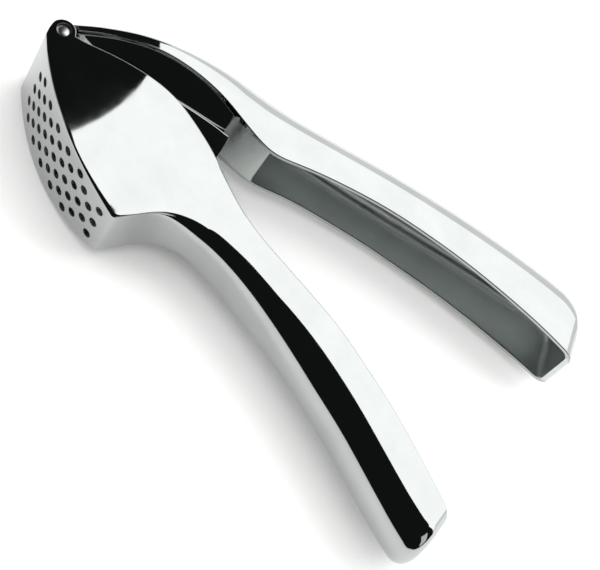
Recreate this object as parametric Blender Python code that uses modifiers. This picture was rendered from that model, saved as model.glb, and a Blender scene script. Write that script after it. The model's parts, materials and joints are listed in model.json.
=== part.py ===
"""Garlic press: a hopper casting with a perforated face, and a lever that presses a plunger into it.

Metres. The press lies on its side: +Z is the pivot pin's axis, +X runs along the handles and +Y points
from the perforated face towards the lever. Outlines are measured from the pivot, in millimetres, with the
lever closed; the assembly is then placed so that the origin is under the middle of the press.
"""
import math

import bmesh
import bpy
import numpy as np
from mathutils import Euler, Matrix, Vector

MM = 0.001

# Driving dimensions, in millimetres and degrees
PIVOT_AT = (-81.42, -1.42, 14.5)     # pivot's middle in the part's frame
OPEN_ANGLE = 16.0                   # lever's opening at rest, from closed
FACE_CENTRE = (58.5, 45.0)          # centre of the perforated face's arc, from the pivot
FACE_RADIUS = 78.8
FACE_WALL = 1.6
SIDE_WALL = 2.4
BACK_RADIUS = 53.9                  # hopper's rear wall turns about the pivot
CORNER_X = 44.9                     # where the face meets the rear wall
HOPPER_HALF = 14.5
EAR_RADIUS = 3.5
FRONT_X = -2.6                      # where the ears' rounding meets the face
FRONT_Y = -4.6
LIP_X = -2.2                        # front wall between the ears, and its top edge
LIP_Y = -2.4
LIP_WALL = 0.1                      # keeps the front lip clear of the lever when it is wide open
LEAST_WALL = 0.8
EAR_END_X = 3.4                     # where the ears' rounding meets the rim
KNUCKLE_RADIUS = 3.0
KNUCKLE_HALF = 11.6
KNUCKLE_TOP_X = -1.2                # where the knuckle meets the lever's top
KNUCKLE_RIM_X = 3.0                 # where it meets the lever's rim
KNUCKLE_SIDE_X = 4.1                # where it meets the lever's side walls
PIN_RADIUS = 1.5
PIN_HEAD_RADIUS = 2.0
PIN_HEAD_DEPTH = 1.1
SINK_RADIUS = 2.35
HANDLE_END_X = 163.6
LEVER_END_X = 168.8
HANDLE_END_RADIUS = 4.6
HANDLE_UNDER_RADIUS = 6.0
HANDLE_TOP_RADIUS = 1.2
GRIP_FILLET = 4.2                   # lower edges of the handle
HOPPER_FILLET = 1.2                 # lower edges of the hopper
GRIP_START_X = 58.0
LEVER_FILLET = 6.0
LEVER_END_RADIUS = 3.6
LEVER_NOSE_RADIUS = 9.0             # lever's top edge at its tip
LEVER_LIP_RADIUS = 0.8
CHANNEL_WALL = 1.8
CHANNEL_ROOF = 2.4
CHANNEL_CORNER = (4.5, 7.0)         # channels' corners at the tips: handle, lever
LAND_START_X = 54.0
CHANNEL_START_X = 66.6
HANDLE_CHANNEL_X = 69.0
BLOCK_END_X = 52.6
BLOCK_Y = -0.4                      # flat underside of the lever's block
RUN_GAP = 0.4                       # clearance of the plunger in the hopper
FIT_GAP = 0.3                       # gap between pieces that touch
HOLE_RADIUS = 1.4
HOLE_PITCH = 6.3
HOLE_ROWS = (3, 4, 3, 4, 3, 4, 3, 4, 3, 4, 3, 2, 3)
ROW_STEP = math.radians(2.6)        # half a pitch along the face's arc
FIRST_ROW = math.radians(225.6)     # direction of the first row from the face's centre
DOWEL_AT = (20.0, 2.4)              # dowel that holds the plunger, from the pivot
DOWEL_RADIUS = 1.25
LUG_HALF = (4.2, 2.9)               # plunger's lug, along and across
LUG_TOP = 5.2
DOWEL_SPAN = (-11.2, 8.0)           # dowel ends, across the press
WALL_STEPS = 4                      # facets up a side wall
HOLE_SIDES = 10
PIN_SIDES = 20


def spline(knots):
    """A smooth curve y(x) through the knots: a natural cubic spline."""
    x, y = np.array(knots, float).T
    h = np.diff(x)
    n = len(x)
    a = np.eye(n)
    b = np.zeros(n)
    for i in range(1, n - 1):
        a[i, i - 1:i + 2] = h[i - 1], 2 * (h[i - 1] + h[i]), h[i]
        b[i] = 6 * ((y[i + 1] - y[i]) / h[i] - (y[i] - y[i - 1]) / h[i - 1])
    m = np.linalg.solve(a, b)

    def value(at):
        at = min(max(at, x[0]), x[-1])
        i = min(max(int(np.searchsorted(x, at)) - 1, 0), n - 2)
        p, q = x[i + 1] - at, at - x[i]
        bend = (m[i] * p ** 3 + m[i + 1] * q ** 3) / (6 * h[i])
        line = (y[i] / h[i] - m[i] * h[i] / 6) * p + (y[i + 1] / h[i] - m[i + 1] * h[i] / 6) * q
        return bend + line

    return value


def inset(x, end, radius):
    """How far a rounded edge of this radius has drawn in at x, on an outline that stops at end."""
    run = x - (end - radius)
    return 0.0 if run <= 0 else radius - math.sqrt(max(radius ** 2 - run ** 2, 0.0))


def arc_y(x, radius):
    """Height of the face's arc at x."""
    return FACE_CENTRE[1] - math.sqrt(radius ** 2 - (x - FACE_CENTRE[0]) ** 2)


body_taper = spline([(14, 14.5), (26, 14.45), (33, 14.05), (40, 13.15), (46, 12.1), (51.5, 10.8),
                     (57, 9.3), (64, 8.5), (72, 8.8), (84, 9.7), (105, 10.2), (135, 10.3), (170, 10.0)])
lever_width = spline([(4, 13.5), (16, 13.85), (28, 14.15), (36, 13.3), (46, 11.9), (55, 10.8), (64, 9.6),
                      (72, 9.3), (82, 9.8), (96, 10.6), (114, 11.0), (140, 10.7), (158, 10.2), (170, 9.6)])
rim_top = spline([(3.4, 0.9), (6.2, 1.6), (12, 3.7), (20, 6.0), (28, 7.4), (36, 7.5), (44, 6.1), (50, 4.7),
                  (54.5, 3.4), (60, 1.3), (65, -1.0), (72, -4.0), (80, -6.4), (90, -8.5), (101, -10.5),
                  (112, -13.1), (121, -16.1), (130, -19.3), (139, -22.9), (147, -26.5), (155, -30.3),
                  (164, -34.7)])
handle_under = spline([(44.9, -32.6), (47.4, -29.0), (50, -25.2), (53.5, -21.4), (58, -19.1), (63, -18.2),
                       (69, -18.2), (76, -19.2), (84, -21.0), (94, -23.8), (104, -27.1), (115, -31.2),
                       (124, -34.6), (134, -38.9), (144, -43.4), (152, -46.8), (164, -51.0)])
lever_rim = spline([(4.2, 2.9), (10, 5.6), (17.2, 8.0), (26, 9.6), (35, 9.8), (42.3, 8.8), (48.4, 7.0),
                    (54, 4.5), (59.5, 2.1), (64, 0.5), (67.5, -0.1), (71, 0.0), (76, 0.5), (83, 0.8),
                    (92, 0.7), (104, 0.0), (115, -1.4), (127, -3.4), (138, -5.8), (150, -9.0),
                    (161, -12.5), (169, -15.6)])
lever_top = spline([(-1.2, 2.8), (2, 4.5), (7, 7.3), (12.6, 9.9), (17.5, 11.7), (25, 13.8), (38, 16.8),
                    (50, 18.0), (61, 17.5), (72, 16.7), (85, 15.7), (100, 14.7), (115, 13.5), (130, 12.0),
                    (145, 9.9), (158, 7.4), (169, 4.8)])


def body_width(reach):
    """Half width of the hopper casting at this distance from the pivot: flat sides, then a taper."""
    return min(HOPPER_HALF, body_taper(reach))


def body_top(x):
    if x < EAR_END_X:
        return math.sqrt(EAR_RADIUS ** 2 - x ** 2)
    return rim_top(x) - inset(x, HANDLE_END_X, HANDLE_TOP_RADIUS)


def body_under(x):
    if x < FRONT_X:
        return FRONT_Y * math.sqrt((EAR_RADIUS ** 2 - x ** 2) / (EAR_RADIUS ** 2 - FRONT_X ** 2))
    if x < CORNER_X:
        return arc_y(x, FACE_RADIUS)
    return handle_under(x) + inset(x, HANDLE_END_X, HANDLE_UNDER_RADIUS)


def body_floor(x):
    """Inside of the casting: front wall's edge, perforated face, rear wall, then the handle's channel."""
    if x < LIP_X:
        return LIP_Y
    if HANDLE_CHANNEL_X < x < HANDLE_END_X - CHANNEL_WALL:
        return handle_under(x) + CHANNEL_ROOF + inset(x, HANDLE_END_X - CHANNEL_WALL, CHANNEL_CORNER[0])
    if x >= BACK_RADIUS:
        return body_top(x)
    face = arc_y(x, FACE_RADIUS - FACE_WALL)
    rear = -math.sqrt(BACK_RADIUS ** 2 - x ** 2)
    return max(face, rear)


def lever_height(x):
    if x < KNUCKLE_TOP_X:
        return math.sqrt(KNUCKLE_RADIUS ** 2 - x ** 2)
    return lever_top(x) - inset(x, LEVER_END_X, LEVER_NOSE_RADIUS)


def lever_under(x):
    """Lowest outer line of the lever: the knuckle, then the rim of its side walls."""
    if x < KNUCKLE_RIM_X:
        return -math.sqrt(KNUCKLE_RADIUS ** 2 - x ** 2)
    return lever_rim(x) + inset(x, LEVER_END_X, LEVER_LIP_RADIUS)


def lever_inner(x):
    """Height of the middle strip of the lever's underside: block, land, or the channel's roof."""
    if x < KNUCKLE_RIM_X:
        return lever_under(x)
    if x < BLOCK_END_X:
        return BLOCK_Y
    if x < CHANNEL_START_X or x > LEVER_END_X - CHANNEL_WALL:
        return lever_under(x)
    return lever_top(x) - CHANNEL_ROOF - inset(x, LEVER_END_X - CHANNEL_WALL, CHANNEL_CORNER[1])


def stations(*marks):
    """Places along X: each mark is (start, stop, count), with the stops of one the start of the next."""
    out = []
    for start, stop, count in marks:
        out += [start + (stop - start) * i / count for i in range(count)]
    return out + [marks[-1][1]]


def fillet(radius, steps):
    """Offsets (along, across) of a quarter round, from its first flat to its second."""
    return [(radius * (1 - math.sin(t)), radius * (1 - math.cos(t)))
            for t in (math.pi / 2 * i / steps for i in range(steps + 1))]


def body_section(x):
    """Half outline (y, z) of the hopper casting, from the middle of its underside to that of its top."""
    top, under = body_top(x), body_under(x)
    floor = min(max(body_floor(x), under + (LEAST_WALL if x > FRONT_X else LIP_WALL)), top)
    draw_in = inset(x, HANDLE_END_X, HANDLE_END_RADIUS)
    radius = min(GRIP_FILLET if x > GRIP_START_X else HOPPER_FILLET, (top - under) * 0.3)
    wall = SIDE_WALL if x < HANDLE_CHANNEL_X else CHANNEL_WALL

    def half(y):
        return body_width(math.hypot(x, y)) - draw_in

    points = [(under, 0.0)]
    for along, across in fillet(radius, 2):
        points.append((under + across, half(under + across) - along))
    low = under + radius
    for i in range(1, WALL_STEPS + 1):
        y = low + (top - low) * i / WALL_STEPS
        points.append((y, half(y)))
    for i in range(WALL_STEPS + 1):
        y = top + (floor - top) * i / WALL_STEPS
        points.append((y, half(y) - wall))
    points.append((floor, 0.0))
    return points


def lever_section(x):
    """Half outline (y, z) of the lever, from the middle of its top to the middle of its underside."""
    top, under, inner = lever_height(x), lever_under(x), lever_inner(x)
    draw_in = inset(x, LEVER_END_X, LEVER_END_RADIUS)
    radius = min(LEVER_FILLET, (top - under) * 0.45)

    def half(y):
        if x < KNUCKLE_SIDE_X:
            return KNUCKLE_HALF
        return lever_width(math.hypot(x, y)) - draw_in

    inner_half = half(under) - CHANNEL_WALL
    if x < CHANNEL_START_X:
        inner_half = min(inner_half, body_width(math.hypot(x, BLOCK_Y)) - SIDE_WALL - RUN_GAP)
    points = [(top, 0.0)]
    for along, across in fillet(radius, 3):
        points.append((top - across, half(top - across) - along))
    points.append((under, half(under)))
    points.append((under, inner_half))
    points.append((inner, inner_half))
    points.append((inner, 0.0))
    return points


def plunger_section(x):
    """Half outline (y, z) of the plunger, from the middle of its top to the middle of its pressing face."""
    top = BLOCK_Y - FIT_GAP
    reach = BACK_RADIUS - RUN_GAP
    low = max(arc_y(x, FACE_RADIUS - FACE_WALL - RUN_GAP), -math.sqrt(max(reach ** 2 - x ** 2, 0.0)))
    points = [(top, 0.0)]
    for i in range(WALL_STEPS + 1):
        y = top + (low - top) * i / WALL_STEPS
        points.append((y, body_width(math.hypot(x, y)) - SIDE_WALL - RUN_GAP))
    points.append((low, 0.0))
    return points


def loft(name, places, section):
    """A closed solid through the mirrored sections at each place along X."""
    mesh = bmesh.new()
    rings = []
    for x in places:
        half = section(x)
        ring = half + [(y, -z) for y, z in reversed(half[1:-1])]
        rings.append([mesh.verts.new((x * MM, y * MM, z * MM)) for y, z in ring])
    count = len(rings[0])
    for first, second in zip(rings, rings[1:]):
        for i in range(count):
            j = (i + 1) % count
            mesh.faces.new((first[i], first[j], second[j], second[i]))
    mesh.faces.new(rings[0])
    mesh.faces.new(rings[-1])
    bmesh.ops.remove_doubles(mesh, verts=mesh.verts, dist=0.00002)
    bmesh.ops.dissolve_degenerate(mesh, edges=mesh.edges, dist=0.00001)
    bmesh.ops.triangulate(mesh, faces=mesh.faces)
    bmesh.ops.recalc_face_normals(mesh, faces=mesh.faces)
    return finish_mesh(name, mesh)


def finish_mesh(name, mesh):
    data = bpy.data.meshes.new(name)
    mesh.to_mesh(data)
    mesh.free()
    return bpy.data.objects.new(name, data)


def cylinder(name, radius, length, sides):
    """A closed cylinder about Z, its middle at the origin."""
    mesh = bmesh.new()
    bmesh.ops.create_cone(mesh, cap_ends=True, segments=sides, radius1=radius * MM, radius2=radius * MM,
                          depth=length * MM)
    return finish_mesh(name, mesh)


def block(name, low, high):
    """A box between two corners."""
    mesh = bmesh.new()
    bmesh.ops.create_cube(mesh, size=1.0)
    size = Vector(high) - Vector(low)
    middle = (Vector(high) + Vector(low)) / 2
    move = Matrix.Translation(middle * MM) @ Matrix.Diagonal((*(size * MM), 1.0))
    bmesh.ops.transform(mesh, matrix=move, verts=mesh.verts)
    return finish_mesh(name, mesh)


def turned(name, profile, steps):
    """A solid turned about Z from a profile of (radius, height) that runs down its outer side."""
    data = bpy.data.meshes.new(name)
    points = [(radius * MM, 0.0, height * MM) for radius, height in profile]
    data.from_pydata(points, [(i, i + 1) for i in range(len(points) - 1)], [])
    piece = bpy.data.objects.new(name, data)
    screw = piece.modifiers.new("Turn", "SCREW")
    screw.steps = screw.render_steps = steps
    screw.use_merge_vertices = True
    screw.merge_threshold = 0.00001
    return piece


def material(name, color, roughness):
    """A bare metal."""
    metal = bpy.data.materials.new(name)
    metal.use_nodes = True
    shader = metal.node_tree.nodes["Principled BSDF"]
    shader.inputs["Base Color"].default_value = (*color, 1.0)
    shader.inputs["Metallic"].default_value = 1.0
    shader.inputs["Roughness"].default_value = roughness
    return metal


def add(piece, hinge, collection, metal=None):
    """Place a piece on its hinge's empty and in its collection."""
    collection.objects.link(piece)
    piece.parent = hinge
    if metal:
        piece.data.materials.append(metal)
    return piece


def cut(piece, tool, hinge, cutters):
    """Take the tool's shape out of the piece."""
    add(tool, hinge, cutters)
    tool.hide_render = True
    tool.display_type = "WIRE"
    modifier = piece.modifiers.new("Cut " + tool.name, "BOOLEAN")
    modifier.operation = "DIFFERENCE"
    modifier.solver = "EXACT"
    modifier.object = tool


def hole_cutter():
    """All the holes of the perforated face in one tool: rows along the arc, every second row staggered."""
    mesh = bmesh.new()
    for row, count in enumerate(HOLE_ROWS):
        angle = FIRST_ROW + row * ROW_STEP
        outward = Vector((math.cos(angle), math.sin(angle), 0.0))
        middle = Vector((*FACE_CENTRE, 0.0)) + outward * (FACE_RADIUS - FACE_WALL / 2)
        turn = outward.to_track_quat("Z", "X").to_matrix().to_4x4()
        for i in range(count):
            across = Vector((0.0, 0.0, (i - (count - 1) / 2) * HOLE_PITCH))
            place = Matrix.Translation((middle + across) * MM) @ turn
            bmesh.ops.create_cone(mesh, cap_ends=True, segments=HOLE_SIDES, radius1=HOLE_RADIUS * MM,
                                  radius2=HOLE_RADIUS * MM, depth=4 * FACE_WALL * MM, matrix=place)
    return finish_mesh("face_holes", mesh)


def hinge_empty(name, angle):
    """An empty on the pivot's axis, turned by the lever's angle."""
    empty = bpy.data.objects.new(name, None)
    empty.location = Vector(PIVOT_AT) * MM
    empty.rotation_euler = Euler((0.0, 0.0, math.radians(angle)))
    bpy.context.scene.collection.objects.link(empty)
    return empty


def make_body(hinge, parts, cutters, metal):
    places = stations((-EAR_RADIUS + 0.02, FRONT_X, 3), (FRONT_X, EAR_END_X, 6), (EAR_END_X, 42.0, 12),
                      (42.0, CORNER_X, 2),
                      (CORNER_X, BACK_RADIUS - 1.0, 5), (BACK_RADIUS - 1.0, BACK_RADIUS, 2),
                      (BACK_RADIUS + 0.05, HANDLE_CHANNEL_X, 5), (HANDLE_CHANNEL_X + 0.05, 154.0, 11),
                      (154.0, HANDLE_END_X - CHANNEL_WALL - 0.03, 5),
                      (HANDLE_END_X - CHANNEL_WALL + 0.03, HANDLE_END_X, 4))
    body = add(loft("hopper_body", places, body_section), hinge, parts, metal)
    cut(body, hole_cutter(), hinge, cutters)
    cut(body, cylinder("ear_bore", PIN_RADIUS + 0.1, 40.0, PIN_SIDES), hinge, cutters)
    sink_depth = PIN_HEAD_DEPTH + 0.4
    for side, tag in ((1, "near"), (-1, "far")):
        sink = cylinder("ear_sink_" + tag, SINK_RADIUS, 2 * sink_depth, PIN_SIDES)
        sink.location = (0.0, 0.0, side * body_width(0.0) * MM)
        cut(body, sink, hinge, cutters)


def make_lever(hinge, parts, cutters, metal):
    places = stations((-KNUCKLE_RADIUS + 0.02, KNUCKLE_TOP_X, 4), (KNUCKLE_TOP_X, KNUCKLE_RIM_X, 4),
                      (KNUCKLE_RIM_X, KNUCKLE_SIDE_X - 0.01, 1), (KNUCKLE_SIDE_X + 0.01, 6.0, 1),
                      (6.0, BLOCK_END_X, 11), (BLOCK_END_X + 0.05, LAND_START_X, 1),
                      (LAND_START_X, CHANNEL_START_X, 4), (CHANNEL_START_X + 0.05, 156.0, 14),
                      (156.0, LEVER_END_X - CHANNEL_WALL, 7),
                      (LEVER_END_X - CHANNEL_WALL + 0.05, LEVER_END_X, 3))
    lever = add(loft("lever", places, lever_section), hinge, parts, metal)
    cut(lever, cylinder("knuckle_bore", PIN_RADIUS + 0.15, 40.0, PIN_SIDES), hinge, cutters)
    pocket = block("lug_pocket", (DOWEL_AT[0] - LUG_HALF[0] - FIT_GAP, BLOCK_Y - 2.0, -LUG_HALF[1] - FIT_GAP),
                   (DOWEL_AT[0] + LUG_HALF[0] + FIT_GAP, LUG_TOP + FIT_GAP, LUG_HALF[1] + FIT_GAP))
    cut(lever, pocket, hinge, cutters)
    drill = cylinder("lever_dowel_bore", DOWEL_RADIUS + 0.1, DOWEL_SPAN[1] - DOWEL_SPAN[0] + 4.0, PIN_SIDES)
    drill.location = (DOWEL_AT[0] * MM, DOWEL_AT[1] * MM, (DOWEL_SPAN[0] + DOWEL_SPAN[1] - 3.0) / 2 * MM)
    cut(lever, drill, hinge, cutters)


def make_plunger(hinge, parts, cutters, metal):
    reach = BACK_RADIUS - RUN_GAP
    places = stations((3.6, 10.0, 3), (10.0, 42.9, 10), (42.9, reach - 1.5, 6), (reach - 1.5, reach - 0.04, 3))
    plunger = add(loft("plunger", places, plunger_section), hinge, parts, metal)
    lug = block("plunger_lug", (DOWEL_AT[0] - LUG_HALF[0], BLOCK_Y - 3.0, -LUG_HALF[1]),
                (DOWEL_AT[0] + LUG_HALF[0], LUG_TOP, LUG_HALF[1]))
    cut(plunger, lug, hinge, cutters)
    plunger.modifiers[-1].operation = "UNION"
    drill = cylinder("plunger_dowel_bore", DOWEL_RADIUS + 0.1, 40.0, PIN_SIDES)
    drill.location = (DOWEL_AT[0] * MM, DOWEL_AT[1] * MM, 0.0)
    cut(plunger, drill, hinge, cutters)


def make_pins(body_hinge, lever_hinge, parts, metal):
    half = body_width(0.0) - 0.2
    neck = half - PIN_HEAD_DEPTH
    dome = [(PIN_HEAD_RADIUS * math.cos(t), neck + 0.25 + (PIN_HEAD_DEPTH - 0.25) * math.sin(t))
            for t in (math.pi / 2 * i / 4 for i in range(4, -1, -1))]
    dome[0] = (0.0, half)
    upper = dome + [(PIN_HEAD_RADIUS, neck), (PIN_RADIUS, neck)]
    profile = upper + [(radius, -height) for radius, height in reversed(upper)]
    pin = add(turned("pivot_pin", profile, PIN_SIDES), body_hinge, parts, metal)
    pin.data.shade_smooth()
    dowel = cylinder("plunger_dowel", DOWEL_RADIUS, DOWEL_SPAN[1] - DOWEL_SPAN[0], PIN_SIDES)
    add(dowel, lever_hinge, parts, metal)
    dowel.location = (DOWEL_AT[0] * MM, DOWEL_AT[1] * MM, sum(DOWEL_SPAN) / 2 * MM)


def main():
    for old in list(bpy.data.objects):
        bpy.data.objects.remove(old, do_unlink=True)
    parts = bpy.data.collections.new("garlic_press")
    cutters = bpy.data.collections.new("garlic_press_cutters")
    for group in (parts, cutters):
        bpy.context.scene.collection.children.link(group)
    cutters.hide_render = True
    chrome = material("chrome_plate", (0.78, 0.79, 0.78), 0.06)
    steel = material("steel", (0.72, 0.72, 0.71), 0.18)
    frame_hinge = hinge_empty("frame_at_pivot", 0.0)
    lever_hinge = hinge_empty("lever_at_pivot", OPEN_ANGLE)
    make_body(frame_hinge, parts, cutters, chrome)
    make_lever(lever_hinge, parts, cutters, chrome)
    make_plunger(lever_hinge, parts, cutters, chrome)
    make_pins(frame_hinge, lever_hinge, parts, steel)


main()
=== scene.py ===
# %% [markdown]
# # A garlic press in bright chrome
# The press is two zinc castings, a plunger and two pins, plated with chrome, and it lies on its side on a
# pale table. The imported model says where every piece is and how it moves. This script makes the smooth
# castings that stand in for the faceted ones, and the metal that covers them.

# %% Load the frame
import json
import math

import bmesh
import bpy
import numpy as np
from mathutils import Matrix, Vector


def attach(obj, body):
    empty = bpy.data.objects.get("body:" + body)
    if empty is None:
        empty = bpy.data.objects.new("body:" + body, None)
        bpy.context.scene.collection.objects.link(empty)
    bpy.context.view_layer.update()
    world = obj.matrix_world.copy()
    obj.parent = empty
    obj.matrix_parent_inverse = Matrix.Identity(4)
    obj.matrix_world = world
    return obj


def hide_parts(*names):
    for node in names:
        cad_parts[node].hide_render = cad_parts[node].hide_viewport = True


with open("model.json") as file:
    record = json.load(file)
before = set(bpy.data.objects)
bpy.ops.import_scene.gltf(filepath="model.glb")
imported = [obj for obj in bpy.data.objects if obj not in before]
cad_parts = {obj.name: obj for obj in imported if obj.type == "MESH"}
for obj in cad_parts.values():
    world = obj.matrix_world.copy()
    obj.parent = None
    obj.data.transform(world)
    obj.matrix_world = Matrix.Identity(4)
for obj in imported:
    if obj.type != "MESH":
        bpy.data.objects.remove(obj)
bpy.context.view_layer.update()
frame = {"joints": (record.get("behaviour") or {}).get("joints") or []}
hinge = frame["joints"][0]
print("pivot at", hinge["pos_m"], "and the lever swings", hinge["range_deg"], "degrees")

# %% [markdown]
# Every outline is measured in millimetres from the pivot, with the lever closed: x runs along the handles, y
# points towards the lever, and z is the pivot's axis. The lever stands open by as much as its joint can turn
# back, so both the pivot's place and that angle come from the frame.

# %% Units and the pivot
MM = 0.001
PIVOT = Vector(hinge["pos_m"])
OPEN_ANGLE = -hinge["range_deg"][0]
BODY_PLACE = Matrix.Translation(PIVOT) @ Matrix.Scale(MM, 4)
LEVER_PLACE = (Matrix.Translation(PIVOT) @ Matrix.Rotation(math.radians(OPEN_ANGLE), 4, "Z")
               @ Matrix.Scale(MM, 4))
print("the lever stands open by", OPEN_ANGLE, "degrees")

# %% [markdown]
# Bright metal shows every kink in a surface. An outline of straight pieces and joined arcs would put a step
# in each reflection, so the long lines of the castings are natural cubic splines: their bend changes smoothly
# from knot to knot, as in a line drawn along a bent batten. Beyond its ends the line runs straight on.


# %% Smooth lines
def spline(knots):
    """The natural cubic spline through the knots, as a function of x."""
    x, y = np.array(knots, float).T
    h = np.diff(x)
    n = len(x)
    a = np.eye(n)
    b = np.zeros(n)
    for i in range(1, n - 1):
        a[i, i - 1:i + 2] = h[i - 1], 2 * (h[i - 1] + h[i]), h[i]
        b[i] = 6 * ((y[i + 1] - y[i]) / h[i] - (y[i] - y[i - 1]) / h[i - 1])
    m = np.linalg.solve(a, b)
    first_slope = (y[1] - y[0]) / h[0] - h[0] * m[1] / 6
    last_slope = (y[-1] - y[-2]) / h[-1] + h[-1] * m[-2] / 6

    def value(at):
        if at < x[0]:
            return y[0] + first_slope * (at - x[0])
        if at > x[-1]:
            return y[-1] + last_slope * (at - x[-1])
        i = min(max(int(np.searchsorted(x, at)) - 1, 0), n - 2)
        p, q = x[i + 1] - at, at - x[i]
        bend = (m[i] * p ** 3 + m[i + 1] * q ** 3) / (6 * h[i])
        return bend + (y[i] / h[i] - m[i] * h[i] / 6) * p + (y[i + 1] / h[i] - m[i + 1] * h[i] / 6) * q

    return value


def inset(x, end, radius):
    """How far an edge rounded to this radius has drawn in at x, where the outline stops at end."""
    run = x - (end - radius)
    return 0.0 if run <= 0 else radius - math.sqrt(max(radius ** 2 - run ** 2, 0.0))


def smooth_max(a, b, soft):
    """The larger of two heights, with the corner where they cross rounded off."""
    h = max(soft - abs(a - b), 0.0) / soft
    return max(a, b) + h * h * soft / 4


def smooth_step(x, low, high):
    """Rises from 0 at low to 1 at high, level at both ends."""
    t = min(max((x - low) / (high - low), 0.0), 1.0)
    return t * t * (3 - 2 * t)


print("halfway up a three-knot arch the spline is at", round(spline([(0, 0), (1, 1), (2, 0)])(0.5), 4))

# %% [markdown]
# The hopper's perforated face is an arc about a point above the lever. Its rear wall turns about the pivot,
# because the plunger sweeps past it, and the side walls narrow with their distance from the pivot for the
# same reason: the plunger's edge stays as close to them at every angle. In front of the pivot the casting
# ends in two round ears and a thin lip. Behind the hopper it becomes the grip, hollowed from above.

# %% Lines of the hopper casting
FACE_CENTRE = (58.5, 45.0)
FACE_RADIUS = 78.8
FACE_WALL = 1.6
SIDE_WALL = 2.4
BACK_RADIUS = 53.9
CORNER_SOFT = 1.6
FLOOR_SOFT = 2.0
FACE_END_X = 78.5
HOPPER_HALF = 14.5
FLAT_SIDE_REACH = 14.0
EAR_RADIUS = 3.5
NOTCH_SOFT = 0.5
FRONT_X, FRONT_Y = -2.6, -4.6
LIP_X, LIP_Y = -2.2, -2.4
HANDLE_END_X = 163.6
HANDLE_END_TOP = 1.2
HANDLE_END_UNDER = 6.0
HANDLE_END_ROOF = 4.5
CHANNEL_WALL = 1.8
CHANNEL_ROOF = 2.4
HANDLE_CHANNEL_X = 69.0
EDGE = 0.5

body_taper = spline([(14, 14.5), (26, 14.45), (33, 14.05), (40, 13.15), (46, 12.1), (51.5, 10.8),
                     (57, 9.3), (64, 8.5), (72, 8.8), (84, 9.7), (105, 10.2), (135, 10.3), (170, 10.0)])
rim_top = spline([(3.4, 0.9), (6.2, 1.6), (12, 3.7), (20, 6.0), (28, 7.4), (36, 7.5), (44, 6.1), (50, 4.7),
                  (54.5, 3.4), (60, 1.3), (65, -1.0), (72, -4.0), (80, -6.4), (90, -8.5), (101, -10.5),
                  (112, -13.1), (121, -16.1), (130, -19.3), (139, -22.9), (147, -26.5), (155, -30.3),
                  (164, -34.7)])
handle_under = spline([(44.9, -32.6), (47.4, -29.0), (50, -25.2), (53.5, -21.4), (58, -19.1), (63, -18.2),
                       (69, -18.2), (76, -19.2), (84, -21.0), (94, -23.8), (104, -27.1), (115, -31.2),
                       (124, -34.6), (134, -38.9), (144, -43.4), (152, -46.8), (164, -51.0)])


def body_width(reach):
    """Half width at this distance from the pivot."""
    return min(HOPPER_HALF, body_taper(max(reach, FLAT_SIDE_REACH)))


def arc_y(x, radius):
    """Height of an arc about the face's centre."""
    return FACE_CENTRE[1] - math.sqrt(radius ** 2 - (x - FACE_CENTRE[0]) ** 2)


def body_top(x):
    if x < EAR_RADIUS:
        ear = math.sqrt(max(EAR_RADIUS ** 2 - x ** 2, 0.0))
        return ear if x < 0 else smooth_max(ear, rim_top(x), NOTCH_SOFT)
    return rim_top(x) - inset(x, HANDLE_END_X, HANDLE_END_TOP)


def body_under(x):
    if x < FRONT_X:
        return FRONT_Y * math.sqrt(max(EAR_RADIUS ** 2 - x ** 2, 0.0) / (EAR_RADIUS ** 2 - FRONT_X ** 2))
    grip = handle_under(x) + inset(x, HANDLE_END_X, HANDLE_END_UNDER)
    return smooth_max(arc_y(x, FACE_RADIUS), grip, CORNER_SOFT) if x < FACE_END_X else grip


def body_floor(x):
    """Height of what lies between the walls: the lip, the face, the neck's top, or the grip's channel."""
    top = body_top(x)
    if x < LIP_X:
        return LIP_Y
    if x < BACK_RADIUS:
        rear = -math.sqrt(BACK_RADIUS ** 2 - x ** 2)
        return smooth_max(arc_y(x, FACE_RADIUS - FACE_WALL), rear, FLOOR_SOFT)
    if x < BACK_RADIUS + EDGE:
        return top - EDGE + math.sqrt(EDGE ** 2 - (BACK_RADIUS + EDGE - x) ** 2)
    channel_end = HANDLE_END_X - CHANNEL_WALL
    if HANDLE_CHANNEL_X < x < channel_end:
        return handle_under(x) + CHANNEL_ROOF + inset(x, channel_end, HANDLE_END_ROOF)
    return top


print("hopper", 2 * HOPPER_HALF, "mm wide, grip", round(2 * body_width(105), 1), "mm wide")

# %% [markdown]
# The lever is a second casting that turns in the hopper's ears. Its underside changes along its length: a
# solid block behind the knuckle holds the plunger, a flat land rests on the handle when the press is closed,
# and from there to the tip it is hollowed into a channel with thin walls.

# %% Lines of the lever
KNUCKLE_RADIUS = 3.0
KNUCKLE_HALF = 11.6
KNUCKLE_TOP_X = -1.2
KNUCKLE_RIM_X = 3.0
SHOULDER = 4.4
LEVER_END_X = 168.8
LEVER_END_TOP = 9.0
LEVER_END_UNDER = 0.8
LEVER_END_ROOF = 7.0
CHANNEL_START_X = 66.6
BLOCK_END_X = 52.6
BLOCK_Y = -0.4
RUN_GAP = 0.4
FIT_GAP = 0.3

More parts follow.
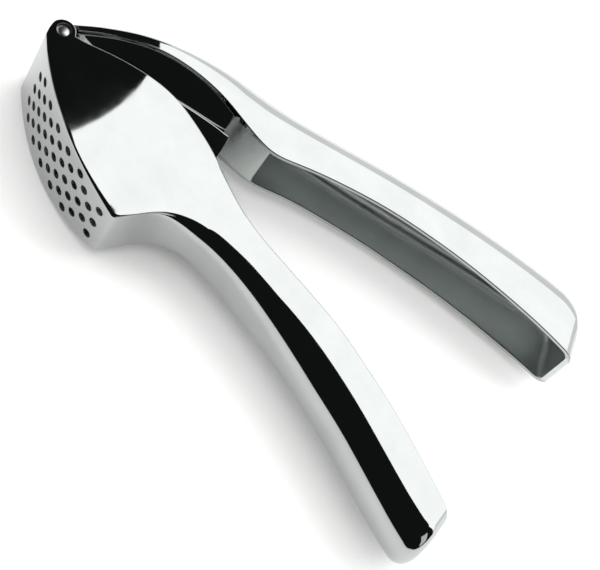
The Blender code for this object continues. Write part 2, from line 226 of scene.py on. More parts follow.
lever_width = spline([(4, 13.5), (16, 13.85), (28, 14.15), (36, 13.3), (46, 11.9), (55, 10.8), (64, 9.6),
                      (72, 9.3), (82, 9.8), (96, 10.6), (114, 11.0), (140, 10.7), (158, 10.2), (170, 9.6)])
lever_rim = spline([(4.2, 2.9), (10, 5.6), (17.2, 8.0), (26, 9.6), (35, 9.8), (42.3, 8.8), (48.4, 7.0),
                    (54, 4.5), (59.5, 2.1), (64, 0.5), (67.5, -0.1), (71, 0.0), (76, 0.5), (83, 0.8),
                    (92, 0.7), (104, 0.0), (115, -1.4), (127, -3.4), (138, -5.8), (150, -9.0),
                    (161, -12.5), (169, -15.6)])
lever_top = spline([(-1.2, 2.8), (2, 4.5), (7, 7.3), (12.6, 9.9), (17.5, 11.7), (25, 13.8), (38, 16.8),
                    (50, 18.0), (61, 17.5), (72, 16.7), (85, 15.7), (100, 14.7), (115, 13.5), (130, 12.0),
                    (145, 9.9), (158, 7.4), (169, 4.8)])


def lever_height(x):
    if x < KNUCKLE_TOP_X:
        return math.sqrt(max(KNUCKLE_RADIUS ** 2 - x ** 2, 0.0))
    return lever_top(x) - inset(x, LEVER_END_X, LEVER_END_TOP)


def lever_under(x):
    if x < KNUCKLE_RIM_X:
        return -math.sqrt(max(KNUCKLE_RADIUS ** 2 - x ** 2, 0.0))
    return lever_rim(x) + inset(x, LEVER_END_X, LEVER_END_UNDER)


def lever_inner(x):
    """Height of the middle of the lever's underside: knuckle, block, land, or the channel's roof."""
    channel_end = LEVER_END_X - CHANNEL_WALL
    if KNUCKLE_RIM_X <= x < BLOCK_END_X:
        return BLOCK_Y
    if CHANNEL_START_X < x < channel_end:
        return lever_top(x) - CHANNEL_ROOF - inset(x, channel_end, LEVER_END_ROOF)
    return lever_under(x)


print("lever", round(LEVER_END_X + KNUCKLE_RADIUS, 1), "mm long")

# %% [markdown]
# A casting is skinned like a ship: a closed outline stands at each place along x, and strips of faces join
# one outline to the next. An outline starts as a line through its corners, given as a height and a depth in
# from the outer side. Each corner is then rounded, because an edge that was cast, ground and plated is never
# sharp, and it is that small round that draws the thin bright line along every rim.

# %% Outlines with rounded corners
CORNER_STEPS = 7


def rounded(points, radii, splits):
    """A line through the points, its inner corners rounded and its straight runs split.

    A round that doesn't fit is cut down to its share of the shorter run beside it."""
    points = [np.array(point, float) for point in points]
    runs = [b - a for a, b in zip(points, points[1:])]
    lengths = [max(float(np.hypot(*run)), 1e-9) for run in runs]
    shares = [0.95, 0.6] + [0.4] * (len(runs) - 4) + [0.5, 0.9]
    room = [share * length for share, length in zip(shares, lengths)]
    rounds = [0.0] + [min(radius, a, b) for radius, a, b in zip(radii, room, room[1:])] + [0.0]
    line = []
    for i, run in enumerate(runs):
        way = run / lengths[i]
        start = points[i] + way * rounds[i]
        stop = points[i + 1] - way * rounds[i + 1]
        for k in range(splits[i] + 1):
            line.append(start + (stop - start) * (1 - math.cos(math.pi * k / splits[i])) / 2)
        if i + 1 < len(runs):
            onward = runs[i + 1] / lengths[i + 1]
            for k in range(1, CORNER_STEPS):
                turn = math.pi / 2 * k / CORNER_STEPS
                line.append(stop + rounds[i + 1] * (way * math.sin(turn) + onward * (1 - math.cos(turn))))
    return line


def linked_piece(name, mesh, place, merge, least):
    """The finished mesh as an object, its doubled points merged and its faces turned outward."""
    bmesh.ops.remove_doubles(mesh, verts=mesh.verts, dist=merge)
    bmesh.ops.dissolve_degenerate(mesh, edges=mesh.edges, dist=least)
    bmesh.ops.transform(mesh, matrix=place, verts=mesh.verts)
    bmesh.ops.recalc_face_normals(mesh, faces=mesh.faces)
    data = bpy.data.meshes.new(name)
    mesh.to_mesh(data)
    mesh.free()
    piece = bpy.data.objects.new(name, data)
    bpy.context.scene.collection.objects.link(piece)
    print(name, len(data.polygons), "faces")
    return piece


def skin(name, places, section, place, inner=None, from_x=-math.inf):
    """A closed mesh through the mirrored outlines at all the places along x.

    Past from_x, faces from the outline's point number inner to the middle get the second material slot."""
    mesh = bmesh.new()
    rings = []
    for x in places:
        half = section(x)
        ring = half + [(y, -z) for y, z in reversed(half[1:-1])]
        rings.append([mesh.verts.new((x, y, z)) for y, z in ring])
    count = len(rings[0])
    for x, first, second in zip(places, rings, rings[1:]):
        for i in range(count):
            j = (i + 1) % count
            face = mesh.faces.new((first[i], first[j], second[j], second[i]))
            face.material_index = int(inner is not None and x > from_x and inner <= i < count - inner)
    mesh.faces.new(rings[0])
    mesh.faces.new(rings[-1])
    return linked_piece(name, mesh, place, 0.004, 0.002)


def places(*spans):
    """Places along x: each span is (start, stop, step, end), and closes up towards the end it names."""
    out = []
    for start, stop, step, end in spans:
        count = max(int(round((stop - start) / step)), 3)
        for i in range(count):
            t = i / count
            if end == "first":
                t = 1 - math.cos(math.pi / 2 * t)
            elif end == "last":
                t = math.sin(math.pi / 2 * t)
            out.append(start + (stop - start) * t)
    return out + [spans[-1][1]]


# %% [markdown]
# The hopper casting's outline runs from the middle of its underside round the side and over the rim, then
# down inside to the perforated face or the grip's channel. The lower edges are tight along the hopper and
# open to a full round along the grip, so the hand meets no edge there. The channel's corners follow them.

# %% Hopper casting
SPLITS = [5, 12, 3, 9, 5]
INNER_WALL = sum(SPLITS[:3]) + 3 * CORNER_STEPS
HOPPER_FILLET = 0.6
NECK_FILLET = 4.1
GRIP_FILLET = 9.3
FILLET_GROWS = (48.0, 66.0, 118.0)
FLOOR_FILLET = 1.2
NECK_RIM = 0.7
NECK_RIM_ENDS = (58.0, 66.0, 72.0)
HANDLE_END_SIDE = 4.6
HANDLE_CHANNEL_END = 2.9
LIP_THICKNESS = 0.1
LEAST_THICKNESS = 0.8
STEP = 0.8
SEAM = 0.005


def body_section(x):
    top, under = body_top(x), body_under(x)
    floor = min(max(body_floor(x), under + (LIP_THICKNESS if x < FRONT_X else LEAST_THICKNESS)), top)
    draw_in = inset(x, HANDLE_END_X, HANDLE_END_SIDE)
    channel_end = HANDLE_END_X - CHANNEL_WALL
    wall = SIDE_WALL + (CHANNEL_WALL - SIDE_WALL) * smooth_step(x, BACK_RADIUS, HANDLE_CHANNEL_X)
    if x < channel_end:
        wall += inset(x, channel_end, HANDLE_CHANNEL_END) - draw_in
    hopper_end, neck, grip = FILLET_GROWS
    fillet = HOPPER_FILLET + (NECK_FILLET - HOPPER_FILLET) * smooth_step(x, hopper_end, neck)
    fillet += (GRIP_FILLET - NECK_FILLET) * smooth_step(x, neck, grip)
    corner = max(FLOOR_FILLET, fillet - CHANNEL_WALL) if x > HANDLE_CHANNEL_X else FLOOR_FILLET
    full, fades, gone = NECK_RIM_ENDS
    rim = EDGE + NECK_RIM * (smooth_step(x, BACK_RADIUS, full) - smooth_step(x, fades, gone))

    def half(y):
        return body_width(math.hypot(x, y)) - draw_in

    line = rounded([(under, half(under)), (under, 0.0), (top, 0.0), (top, wall), (floor, wall),
                    (floor, half(floor))],
                   [fillet, rim, EDGE, corner], SPLITS)
    return [(y, half(y) - depth) for y, depth in line]


body_places = places((-EAR_RADIUS + SEAM, FRONT_X, 0.08, "first"), (FRONT_X, LIP_X, 0.1, ""),
                     (LIP_X + 2 * SEAM, EAR_RADIUS + 1.0, 0.25, ""), (EAR_RADIUS + 1.0, 43.0, STEP, ""),
                     (43.0, 47.0, 0.2, ""), (47.0, BACK_RADIUS - SEAM, 0.5, "last"),
                     (BACK_RADIUS, BACK_RADIUS + EDGE, 0.1, "first"),
                     (BACK_RADIUS + EDGE, HANDLE_CHANNEL_X, STEP, ""),
                     (HANDLE_CHANNEL_X + 2 * SEAM, 150.0, STEP, ""),
                     (150.0, HANDLE_END_X - CHANNEL_WALL - SEAM, 0.5, "last"),
                     (HANDLE_END_X - CHANNEL_WALL, HANDLE_END_X, 0.12, "last"))
body = skin("hopper_body_casting", body_places, body_section, BODY_PLACE, INNER_WALL)

# %% [markdown]
# The lever's outline runs the other way, from the middle of its top. The round on its upper edges is broad,
# about a third of its height, so a soft gradient runs along it. The block narrows from the rim to the
# plunger and clears the hopper's walls when the press is shut. Past the block a polishing wheel can't reach
# the underside, so the land and the channel get the second material slot, for the skin from the mould.

# %% Lever casting
ROOT_FILLET = 1.0
LEVER_FILLET = 6.0
LEVER_FILLET_X = 60.0
LARGEST_SHARE = 0.45
BLOCK_SLOPE = 3.4
LEVER_RIM = 1.3
RIM_GROWTH = 0.7
RIM_GROWTH_ENDS = (40.0, 54.0, 62.0)
RIM_EDGE = 0.3
INNER_FILLET = 3.5
LEVER_END_SIDE = 3.6
LEVER_CHANNEL_END = 2.2
SHOULDER_SOFT = 0.15
ROOT_REACH = 4.0


def lever_section(x):
    top, under, inner = lever_height(x), lever_under(x), lever_inner(x)
    draw_in = inset(x, LEVER_END_X, LEVER_END_SIDE)
    channel_end = LEVER_END_X - CHANNEL_WALL

    def half(y):
        reach = math.hypot(x, y)
        side = lever_width(max(reach, ROOT_REACH)) - draw_in
        shown = smooth_step(reach, SHOULDER - SHOULDER_SOFT, SHOULDER + SHOULDER_SOFT)
        return KNUCKLE_HALF + (side - KNUCKLE_HALF) * shown

    grows, fades, gone = RIM_GROWTH_ENDS
    wall = LEVER_RIM + RIM_GROWTH * (smooth_step(x, grows, BLOCK_END_X) - smooth_step(x, fades, gone))
    if x < BLOCK_END_X:
        foot = half(inner) - (body_width(math.hypot(x, BLOCK_Y)) - SIDE_WALL - RUN_GAP) + BLOCK_SLOPE
    else:
        wall += inset(x, channel_end, LEVER_CHANNEL_END) - draw_in if x < channel_end else 0.0
        foot = wall
    fillet = ROOT_FILLET + (LEVER_FILLET - ROOT_FILLET) * smooth_step(x, 0.0, LEVER_FILLET_X)
    line = rounded([(top, half(top)), (top, 0.0), (under, 0.0), (under, wall), (inner, foot),
                    (inner, half(inner))],
                   [min(fillet, (top - under) * LARGEST_SHARE), RIM_EDGE, RIM_EDGE, INNER_FILLET], SPLITS)
    return [(y, half(y) - depth) for y, depth in line]


lever_places = places((-KNUCKLE_RADIUS + SEAM, KNUCKLE_TOP_X, 0.1, "first"),
                      (KNUCKLE_TOP_X, KNUCKLE_RIM_X - SEAM, 0.12, ""),
                      (KNUCKLE_RIM_X, 6.0, 0.12, ""), (6.0, BLOCK_END_X - SEAM, STEP, ""),
                      (BLOCK_END_X, CHANNEL_START_X, STEP, ""),
                      (CHANNEL_START_X + 2 * SEAM, 150.0, STEP, ""),
                      (150.0, LEVER_END_X - CHANNEL_WALL - SEAM, 0.4, "last"),
                      (LEVER_END_X - CHANNEL_WALL, LEVER_END_X, 0.1, "last"))
lever = skin("lever_casting", lever_places, lever_section, LEVER_PLACE, INNER_WALL, BLOCK_END_X - 2 * SEAM)

# %% [markdown]
# The plunger fills the hopper to within a fraction of a millimetre at its upper edge. Its pressing face
# follows the perforated face, its rear edge follows the rear wall, and below the edge its sides draw in, so
# that it doesn't bind.

# %% Plunger
DRAFT = 0.38
DRAFT_DEPTH = 9.0
FACE_SOFT = 2.4
PLUNGER_EDGES = (0.3, 0.4)
PLUNGER_SPLITS = (4, 10, 4)


def plunger_section(x):
    top = BLOCK_Y - FIT_GAP
    reach = BACK_RADIUS - RUN_GAP
    face = arc_y(x, FACE_RADIUS - FACE_WALL - RUN_GAP)
    low = smooth_max(face, -math.sqrt(max(reach ** 2 - x ** 2, 0.0)), FACE_SOFT)

    def half(y):
        draft = DRAFT * min(top - y, DRAFT_DEPTH)
        return body_width(math.hypot(x, y)) - SIDE_WALL - RUN_GAP - draft

    line = rounded([(top, half(top)), (top, 0.0), (low, 0.0), (low, half(low))],
                   PLUNGER_EDGES, PLUNGER_SPLITS)
    return [(y, half(y) - depth) for y, depth in line]


plunger_places = places((3.6, 46.0, STEP, ""), (46.0, BACK_RADIUS - RUN_GAP - 4 * SEAM, 0.3, "last"))
plunger = skin("plunger_casting", plunger_places, plunger_section, LEVER_PLACE)

# %% [markdown]
# Two steel pins hold it together. The pivot pin is a rivet: its ends are peened into low domes that sit in
# a counterbore in each ear. The dowel through the plunger's lug is a plain ground pin with broken edges.
# Both are turned shapes, so each is drawn as half a profile and spun about its axis.

# %% Pins
PIN_RADIUS = 1.5
PIN_HEAD_RADIUS = 2.0
PIN_HEAD_DEPTH = 1.1
SINK_RADIUS = 2.2
DOWEL_AT = (20.0, 2.4)
DOWEL_RADIUS = 1.25
DOWEL_SPAN = (-11.2, 8.0)
BROKEN_EDGE = 0.2
DOME_SKIRT = 0.3
DOME_STEPS = 12
HEAD_BELOW_SIDE = 0.2
TURN_STEPS = 64
AXIS = (0.0, 0.0)


def turned(name, profile, centre, place):
    """A solid of revolution about z from a profile of (radius, height) that starts and ends on the axis."""
    mesh = bmesh.new()
    rings = []
    for radius, height in profile:
        spokes = [(radius * math.cos(turn), radius * math.sin(turn))
                  for turn in (2 * math.pi * i / TURN_STEPS for i in range(TURN_STEPS))]
        rings.append([mesh.verts.new((centre[0] + x, centre[1] + y, height)) for x, y in spokes])
    for first, second in zip(rings, rings[1:]):
        for i in range(TURN_STEPS):
            j = (i + 1) % TURN_STEPS
            mesh.faces.new((first[i], second[i], second[j], first[j]))
    return linked_piece(name, mesh, place, 0.001, 0.0005)


def pin_profile():
    neck = body_width(0.0) - HEAD_BELOW_SIDE - PIN_HEAD_DEPTH
    rise = PIN_HEAD_DEPTH - DOME_SKIRT
    dome = [(PIN_HEAD_RADIUS * math.cos(t), neck + DOME_SKIRT + rise * math.sin(t))
            for t in (math.pi / 2 * i / DOME_STEPS for i in range(DOME_STEPS, -1, -1))]
    upper = dome + [(PIN_HEAD_RADIUS, neck), (PIN_RADIUS, neck)]
    return upper + [(radius, -height) for radius, height in reversed(upper)]


def dowel_profile():
    low, high = DOWEL_SPAN
    return [(0.0, high), (DOWEL_RADIUS - BROKEN_EDGE, high), (DOWEL_RADIUS, high - BROKEN_EDGE),
            (DOWEL_RADIUS, low + BROKEN_EDGE), (DOWEL_RADIUS - BROKEN_EDGE, low), (0.0, low)]


pin = turned("pivot_rivet", pin_profile(), AXIS, BODY_PLACE)
dowel = turned("plunger_dowel_pin", dowel_profile(), DOWEL_AT, LEVER_PLACE)

# %% [markdown]
# A node tree is text turned into boxes and wires, and one small function is enough to write it: it adds a
# node, sets what the node is told, and links what it is given. Every finish here is then made of the same
# few steps: a noise of a real size, a tint, a spread of roughness and a relief.


# %% Functions for the finishes
def add_node(tree, kind, inputs=None, **settings):
    node = tree.nodes.new(kind)
    for key, value in settings.items():
        setattr(node, key, value)
    for key, value in (inputs or {}).items():
        if isinstance(value, bpy.types.NodeSocket):
            tree.links.new(value, node.inputs[key])
        else:
            node.inputs[key].default_value = value
    return node


def colour(code):
    """Linear colour of an sRGB hex code."""
    parts = [int(code[i:i + 2], 16) / 255 for i in (1, 3, 5)]
    return tuple(c / 12.92 if c <= 0.04045 else ((c + 0.055) / 1.055) ** 2.4 for c in parts) + (1.0,)


def principled(name):
    """A new material's tree and its shader."""
    metal = bpy.data.materials.new(name)
    metal.use_nodes = True
    return metal, metal.node_tree, metal.node_tree.nodes["Principled BSDF"]


def noise(tree, size_mm, detail, roughness=0.5):
    """Noise from 0 to 1 whose features have this size on the metal."""
    place = add_node(tree, "ShaderNodeTexCoord").outputs["Object"]
    return add_node(tree, "ShaderNodeTexNoise", {"Vector": place, "Scale": 1.0 / (size_mm * MM),
                                                 "Detail": detail, "Roughness": roughness}).outputs["Fac"]


def tint(tree, shader, amount, span, codes):
    """Colours the surface from one code to the other as the amount crosses the span."""
    ramp = add_node(tree, "ShaderNodeValToRGB", {"Fac": amount})
    for stop, position, code in zip(ramp.color_ramp.elements, span, codes):
        stop.position = position
        stop.color = colour(code)
    tree.links.new(ramp.outputs["Color"], shader.inputs["Base Color"])


def roughen(tree, shader, amount, span, limits):
    """Spreads the roughness between its limits as the amount crosses the span."""
    spread = add_node(tree, "ShaderNodeMapRange", {"Value": amount, "From Min": span[0], "From Max": span[1],
                                                   "To Min": limits[0], "To Max": limits[1]})
    tree.links.new(spread.outputs["Result"], shader.inputs["Roughness"])


def relief(tree, shader, amount, height_mm, beneath=None):
    """Raises the surface by the amount times this height, on top of the relief beneath."""
    inputs = {"Height": amount, "Distance": height_mm * MM, "Strength": 1.0}
    if beneath is not None:
        inputs["Normal"] = beneath
    normal = add_node(tree, "ShaderNodeBump", inputs).outputs["Normal"]
    tree.links.new(normal, shader.inputs["Normal"])
    return normal


print("mid grey is", [round(c, 3) for c in colour("#808080")])

# %% [markdown]
# The castings are zinc, ground and buffed, then plated with a few thousandths of a millimetre of chromium.
# What the eye gets is almost a mirror: slightly dark, faintly cool, and softened only by two things. Buffing
# leaves the metal very slightly wavy over several millimetres, and handling leaves thin smears that are a
# little rougher than the plate around them.

# %% Bright chrome plate
WAVE_MM = 9.0
WAVE_HEIGHT_MM = 0.012
SMEAR_MM = 14.0
SCRATCH_MM = 0.5
SCRATCH_HEIGHT_MM = 0.0006
PLATE_COLOURS = ("#ABAEAD", "#B3B6B5")
PLATE_ROUGHNESS = (0.035, 0.085)


def bright_chrome():
    metal, tree, shader = principled("chrome_plate_buffed")
    shader.inputs["Metallic"].default_value = 1.0
    smear = noise(tree, SMEAR_MM, 4.0, 0.6)
    tint(tree, shader, smear, (0.3, 0.75), PLATE_COLOURS)
    roughen(tree, shader, smear, (0.45, 0.75), PLATE_ROUGHNESS)
    wave = relief(tree, shader, noise(tree, WAVE_MM, 1.0), WAVE_HEIGHT_MM)
    relief(tree, shader, noise(tree, SCRATCH_MM, 2.0), SCRATCH_HEIGHT_MM, wave)
    return metal


chrome = bright_chrome()
print("made", chrome.name)

# %% [markdown]
# Inside the channels and the hopper, and in the small holes, no buffing wheel reaches. There the plate lies
# over the skin from the mould, so it is satin, with a fine grain, and reflections blur into soft patches. Its
# colour is painted lighter than the buffed plate's, as painted fill light against the shade in these
# recesses.

# %% Satin plate in the recesses
GRAIN_MM = 0.7
GRAIN_HEIGHT_MM = 0.01
SATIN_SPAN = (0.3, 0.7)
# painted fill light: these colours are lighter than the buffed plate's, so the shaded channels, hopper and
# holes read brighter
SATIN_COLOURS_PAINTED_LIGHTER = ("#C2C7C5", "#D2D6D4")
SATIN_ROUGHNESS = (0.3, 0.42)


def satin_plate():
    metal, tree, shader = principled("chrome_plate_as_cast_painted_lighter")
    shader.inputs["Metallic"].default_value = 1.0
    patch = noise(tree, SMEAR_MM, 5.0)
    tint(tree, shader, patch, SATIN_SPAN, SATIN_COLOURS_PAINTED_LIGHTER)
    roughen(tree, shader, patch, SATIN_SPAN, SATIN_ROUGHNESS)
    relief(tree, shader, noise(tree, GRAIN_MM, 3.0), GRAIN_HEIGHT_MM)
    return metal


satin = satin_plate()
print("made", satin.name)

# %% [markdown]
# The pins are stainless steel, turned and left as they come from the lathe: a fine grain, and a warmer,
# softer shine than the plate.

# %% Turned steel
TOOL_MARK_MM = 0.25
TOOL_MARK_HEIGHT_MM = 0.002
STEEL_COLOURS = ("#C6C6C2", "#DADAD6")
STEEL_ROUGHNESS = (0.26, 0.4)
WHOLE_SPAN = (0.0, 1.0)


def turned_steel():
    metal, tree, shader = principled("stainless_steel_turned")
    shader.inputs["Metallic"].default_value = 1.0
    mark = noise(tree, TOOL_MARK_MM, 3.0)
    tint(tree, shader, mark, WHOLE_SPAN, STEEL_COLOURS)
    roughen(tree, shader, mark, WHOLE_SPAN, STEEL_ROUGHNESS)
    relief(tree, shader, mark, TOOL_MARK_HEIGHT_MM)
    return metal


steel = turned_steel()
print("made", steel.name)

# %% [markdown]
# The face is drilled by a tool with rows of punches, and every second row is staggered by half a pitch, as
# close-packed holes are. Holes that repeat by rule are a job for Geometry Nodes: the tree scatters one point
# per hole along the face's arc, stands a short cylinder on each, square to the face, and the whole set is
# then cut out of the casting. One tree serves the odd rows, the even rows and the short last one.

# %% Rows of perforations
HOLE_RADIUS = 1.4
HOLE_PITCH = 6.3
HOLE_SIDES = 40
ROW_ANGLE = 2.6
FIRST_ROW = 225.6
ROWS = {"odd_rows": (0, 7, 3), "even_rows": (1, 5, 4), "last_pair": (11, 1, 2)}


def perforation_tree():
    tree = bpy.data.node_groups.new("perforations", "GeometryNodeTree")
    named = {"Rows": "NodeSocketInt", "Holes in a Row": "NodeSocketInt", "First Angle": "NodeSocketFloat",
             "Row Angle": "NodeSocketFloat", "Pitch": "NodeSocketFloat", "Arc Radius": "NodeSocketFloat",
             "Hole Radius": "NodeSocketFloat", "Depth": "NodeSocketFloat",
             "Wall Finish": "NodeSocketMaterial"}
    for label, kind in named.items():
        tree.interface.new_socket(label, in_out="INPUT", socket_type=kind)
    tree.interface.new_socket("Holes", in_out="OUTPUT", socket_type="NodeSocketGeometry")
    given = tree.nodes.new("NodeGroupInput").outputs

    def math_node(operation, a, b=0.0, c=0.0):
        return add_node(tree, "ShaderNodeMath", {0: a, 1: b, 2: c}, operation=operation).outputs[0]

    index = add_node(tree, "GeometryNodeInputIndex").outputs[0]
    count = math_node("MULTIPLY", given["Rows"], given["Holes in a Row"])
    row = math_node("FLOOR", math_node("DIVIDE", index, given["Holes in a Row"]))
    column = math_node("MODULO", index, given["Holes in a Row"])
    angle = math_node("MULTIPLY_ADD", row, given["Row Angle"], given["First Angle"])
    middle = math_node("MULTIPLY", math_node("SUBTRACT", given["Holes in a Row"], 1.0), 0.5)
    across = math_node("MULTIPLY", math_node("SUBTRACT", column, middle), given["Pitch"])
    cos, sin = math_node("COSINE", angle), math_node("SINE", angle)
    place = add_node(tree, "ShaderNodeCombineXYZ", {"X": math_node("MULTIPLY", cos, given["Arc Radius"]),
                                                    "Y": math_node("MULTIPLY", sin, given["Arc Radius"]),
                                                    "Z": across})
    outward = add_node(tree, "ShaderNodeCombineXYZ", {"X": cos, "Y": sin})
    points = add_node(tree, "GeometryNodePoints", {"Count": count, "Position": place.outputs[0]})
    stand = add_node(tree, "FunctionNodeAlignRotationToVector", {"Vector": outward.outputs[0]}, axis="Z")
    drill = add_node(tree, "GeometryNodeMeshCylinder", {"Vertices": HOLE_SIDES, "Depth": given["Depth"],
                                                        "Radius": given["Hole Radius"]})
    drills = add_node(tree, "GeometryNodeInstanceOnPoints", {"Points": points.outputs[0],
                                                             "Instance": drill.outputs["Mesh"],
                                                             "Rotation": stand.outputs[0]})
    real = add_node(tree, "GeometryNodeRealizeInstances", {"Geometry": drills.outputs[0]})
    finished = add_node(tree, "GeometryNodeSetMaterial", {"Geometry": real.outputs[0],
                                                          "Material": given["Wall Finish"]})
    out = tree.nodes.new("NodeGroupOutput")
    tree.links.new(finished.outputs[0], out.inputs["Holes"])
    return tree


def plain_mesh(piece):
    """Turns what the piece's modifiers show into its own mesh."""
    shown = bpy.context.evaluated_depsgraph_get()
    data = bpy.data.meshes.new_from_object(piece.evaluated_get(shown))
    piece.modifiers.clear()
    piece.data = data
    return piece


def hole_rows(tree, name, first, rows, per_row):
    """The cutters of every second row, from row number first on."""
    holes = bpy.data.objects.new(name, bpy.data.meshes.new(name))
    bpy.context.scene.collection.objects.link(holes)
    modifier = holes.modifiers.new("Perforations", "NODES")
    modifier.node_group = tree
    values = {"Rows": rows, "Holes in a Row": per_row, "Pitch": HOLE_PITCH, "Hole Radius": HOLE_RADIUS,
              "First Angle": math.radians(FIRST_ROW + ROW_ANGLE * first),
              "Row Angle": math.radians(ROW_ANGLE * 2), "Arc Radius": FACE_RADIUS - FACE_WALL / 2,
              "Depth": 4 * FACE_WALL, "Wall Finish": satin}
    for socket in tree.interface.items_tree:
        if socket.in_out == "INPUT":
            modifier[socket.identifier] = values[socket.name]
    plain_mesh(holes)
    holes.data.transform(BODY_PLACE @ Matrix.Translation((*FACE_CENTRE, 0.0)))
    print(name, len(holes.data.polygons) // (HOLE_SIDES + 2), "holes")
    return holes


drill_tree = perforation_tree()
cutters = [hole_rows(drill_tree, name, *row) for name, row in ROWS.items()]

# %% [markdown]
# A counterbore is turned into each ear so that the rivet's dome doesn't stand proud of the side, and the
# pin's own bore runs through both ears. Each is a turned shape that is cut away like the holes.

# %% Cut the hopper casting
SINK_DEPTH = 1.5
BORE_GAPS = (0.1, 0.15)


def disc(name, radius, low, high, place):
    """A flat-ended cutter about the pivot's axis."""
    return turned(name, [(0.0, high), (radius, high), (radius, low), (0.0, low)], AXIS, place)


ear = body_width(0.0)
beyond = ear + 1.0
cutters.append(disc("ear_sink_near", SINK_RADIUS, ear - SINK_DEPTH, beyond, BODY_PLACE))
cutters.append(disc("ear_sink_far", SINK_RADIUS, -beyond, SINK_DEPTH - ear, BODY_PLACE))
cutters.append(disc("ear_bore", PIN_RADIUS + BORE_GAPS[0], -beyond, beyond, BODY_PLACE))
knuckle_bore = disc("knuckle_bore", PIN_RADIUS + BORE_GAPS[1], -ear, ear, LEVER_PLACE)


def dress(piece, *finishes):
    """Adds material slots and leaves each face's slot number alone."""
    for finish in finishes:
        piece.data.materials.append(finish)


def cut(piece, tools):
    """Cuts the tools out of the piece and deletes them."""
    for tool in tools:
        if not tool.data.materials:
            dress(tool, satin)
        modifier = piece.modifiers.new(tool.name, "BOOLEAN")
        modifier.operation = "DIFFERENCE"
        modifier.solver = "EXACT"
        modifier.object = tool
        modifier.material_mode = "TRANSFER"
    plain_mesh(piece)
    for tool in tools:
        bpy.data.objects.remove(tool)


dress(body, chrome, satin)
dress(lever, chrome, satin)
dress(plunger, chrome)
dress(pin, steel)
dress(dowel, steel)
cut(body, cutters)
cut(lever, [knuckle_bore])
print("casting with its holes:", len(body.data.polygons), "faces")

# %% [markdown]
# Smooth shading hides the strips of the skin, and any edge that turns by more than a set angle is kept hard:
# the holes' edges and the corners where two machined faces meet.

# %% Smooth the surfaces
HARD_EDGE = math.radians(32)
for piece in (body, lever, plunger, pin, dowel):
    piece.data.shade_smooth()
    piece.data.set_sharp_from_angle(angle=HARD_EDGE)

# %% [markdown]
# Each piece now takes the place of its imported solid, and rides on the body that the solid belongs to.

# %% Tie the pieces to the frame
for piece, node, body_name, slot in ((body, "hopper_body", "frame", "chrome_plate"),
                                     (pin, "pivot_pin", "frame", "pin_steel"),
                                     (lever, "lever", "lever", "chrome_plate"),
                                     (plunger, "plunger", "lever", "chrome_plate"),
                                     (dowel, "plunger_dowel", "lever", "pin_steel")):
    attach(piece, body_name)
    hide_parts(node)

# %% [markdown]
# The press lies on a plain table in matt off-white paint. Its light comes up into everything that faces
# down: the perforated face and the round underside of the grip.

# %% Table
TABLE_SIZE = 6.0
PAINT_GRAIN_MM = 1.5
PAINT_COLOURS = ("#F4F4F3", "#F7F7F6")
PAINT_ROUGHNESS = 0.7


def pale_table():
    paint, tree, shader = principled("table_matt_paint")
    tint(tree, shader, noise(tree, PAINT_GRAIN_MM, 3.0), WHOLE_SPAN, PAINT_COLOURS)
    shader.inputs["Roughness"].default_value = PAINT_ROUGHNESS
    return paint


table_mesh = bpy.data.meshes.new("table")
half_table = TABLE_SIZE / 2
table_mesh.from_pydata([(-half_table, -half_table, 0.0), (half_table, -half_table, 0.0),
                        (half_table, half_table, 0.0), (-half_table, half_table, 0.0)], [], [(0, 1, 2, 3)])
table = bpy.data.objects.new("table", table_mesh)
bpy.context.scene.collection.objects.link(table)
dress(table, pale_table())


# %% [markdown]
# A mirror has no colour of its own, so what surrounds the press matters as much as its metal. A tall white
# screen stands close behind it and to the right, with a dimmer foot that gives the lever's round edges their
# grey line. A low strip goes on to the left of the screen, two small panels stand far out in front for the
# rivet and the edges, and a large one overhead fills the shadows. The rest of the room reflects dark: that
# is how a product photographer gets clean white planes with crisp dark edges.

# %% Lights
ROOM_FILL = (0.95, 0.95, 0.95, 1.0)
ROOM_DARK = (0.015, 0.017, 0.016, 1.0)
ROOM_STRENGTH = 0.75
HERE = (0.0, 0.0, 0.0)


def panel(name, centre, size, radiance, aim=HERE, glossy=True):
    """A rectangular light at centre facing aim; its radiance doesn't depend on its size."""
    data = bpy.data.lights.new(name, "AREA")
    data.shape = "RECTANGLE"
    data.size, data.size_y = size
    data.energy = radiance * math.pi * size[0] * size[1]
    light = bpy.data.objects.new(name, data)
    light.location = centre
    light.rotation_euler = (Vector(aim) - Vector(centre)).to_track_quat("-Z", "Y").to_euler()
    light.visible_glossy = glossy
    light.visible_camera = False
    bpy.context.scene.collection.objects.link(light)
    print(name, size, "m, radiance", radiance)
    return light


def screen(name, left, right, low, high, radiance):
    """An upright panel behind the press."""
    x, z = (left + right) / 2, (low + high) / 2
    return panel(name, (x, SCREEN_Y, z), (right - left, high - low), radiance, aim=(x, 0.0, z))


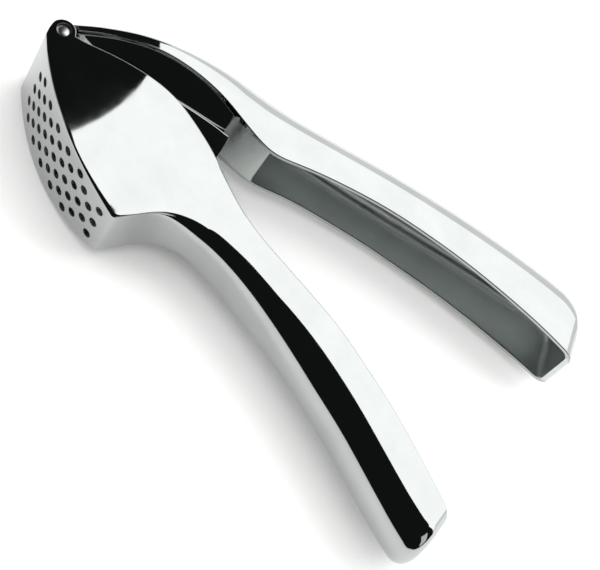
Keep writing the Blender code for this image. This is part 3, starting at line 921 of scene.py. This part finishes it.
SCREEN_Y = 0.25
SCREEN_LEFT = -0.0985
SCREEN_TOP = 1.1
SCREEN_BASE = 0.21
SCREEN_REACH = 0.9
STRIP_TOP = 0.12
screen("screen", SCREEN_LEFT, SCREEN_REACH, SCREEN_BASE, SCREEN_TOP, 2.1)
screen("screen_base", SCREEN_LEFT, SCREEN_REACH, 0.0, SCREEN_BASE, 1.3)
screen("low_strip", -SCREEN_REACH, SCREEN_LEFT, 0.0, STRIP_TOP, 1.6)
panel("front_left", (-1.2, -0.5, 0.6), (0.6, 0.9), 0.9)
panel("front_right", (1.3, -0.4, 0.6), (0.6, 0.9), 0.9)
panel("overhead_fill", (0.0, -0.3, 2.2), (3.0, 3.0), 1.1, glossy=False)

world = bpy.data.worlds.new("room")
bpy.context.scene.world = world
world.use_nodes = True
room = world.node_tree
path = add_node(room, "ShaderNodeLightPath")
room_colour = add_node(room, "ShaderNodeMix", {"Factor": path.outputs["Is Glossy Ray"]}, data_type="RGBA")
room_colour.inputs[6].default_value = ROOM_FILL
room_colour.inputs[7].default_value = ROOM_DARK
room.links.new(room_colour.outputs[2], room.nodes["Background"].inputs["Color"])
room.nodes["Background"].inputs["Strength"].default_value = ROOM_STRENGTH

# %% [markdown]
# The camera looks down on the press from the side of the perforated face, rolled so that the handles run
# down to the right.

# %% Camera
LENS_MM = 108.0
DISTANCE = 0.4981
AIM = Vector((0.01218, -0.00486, 0.0145))
HEIGHT_ANGLE = 55.77
ROLL = 40.6

camera_data = bpy.data.cameras.new("camera")
camera_data.lens = LENS_MM
camera_data.clip_start = 0.01
camera = bpy.data.objects.new("camera", camera_data)
bpy.context.scene.collection.objects.link(camera)
tilt = Matrix.Rotation(math.radians(90 - HEIGHT_ANGLE), 4, "X")
camera.matrix_world = (Matrix.Translation(AIM) @ tilt @ Matrix.Translation((0, 0, DISTANCE))
                       @ Matrix.Rotation(math.radians(ROLL), 4, "Z"))
bpy.context.scene.camera = camera
bpy.context.scene.view_settings.view_transform = "Standard"
print("camera at", [round(c, 3) for c in camera.matrix_world.translation])
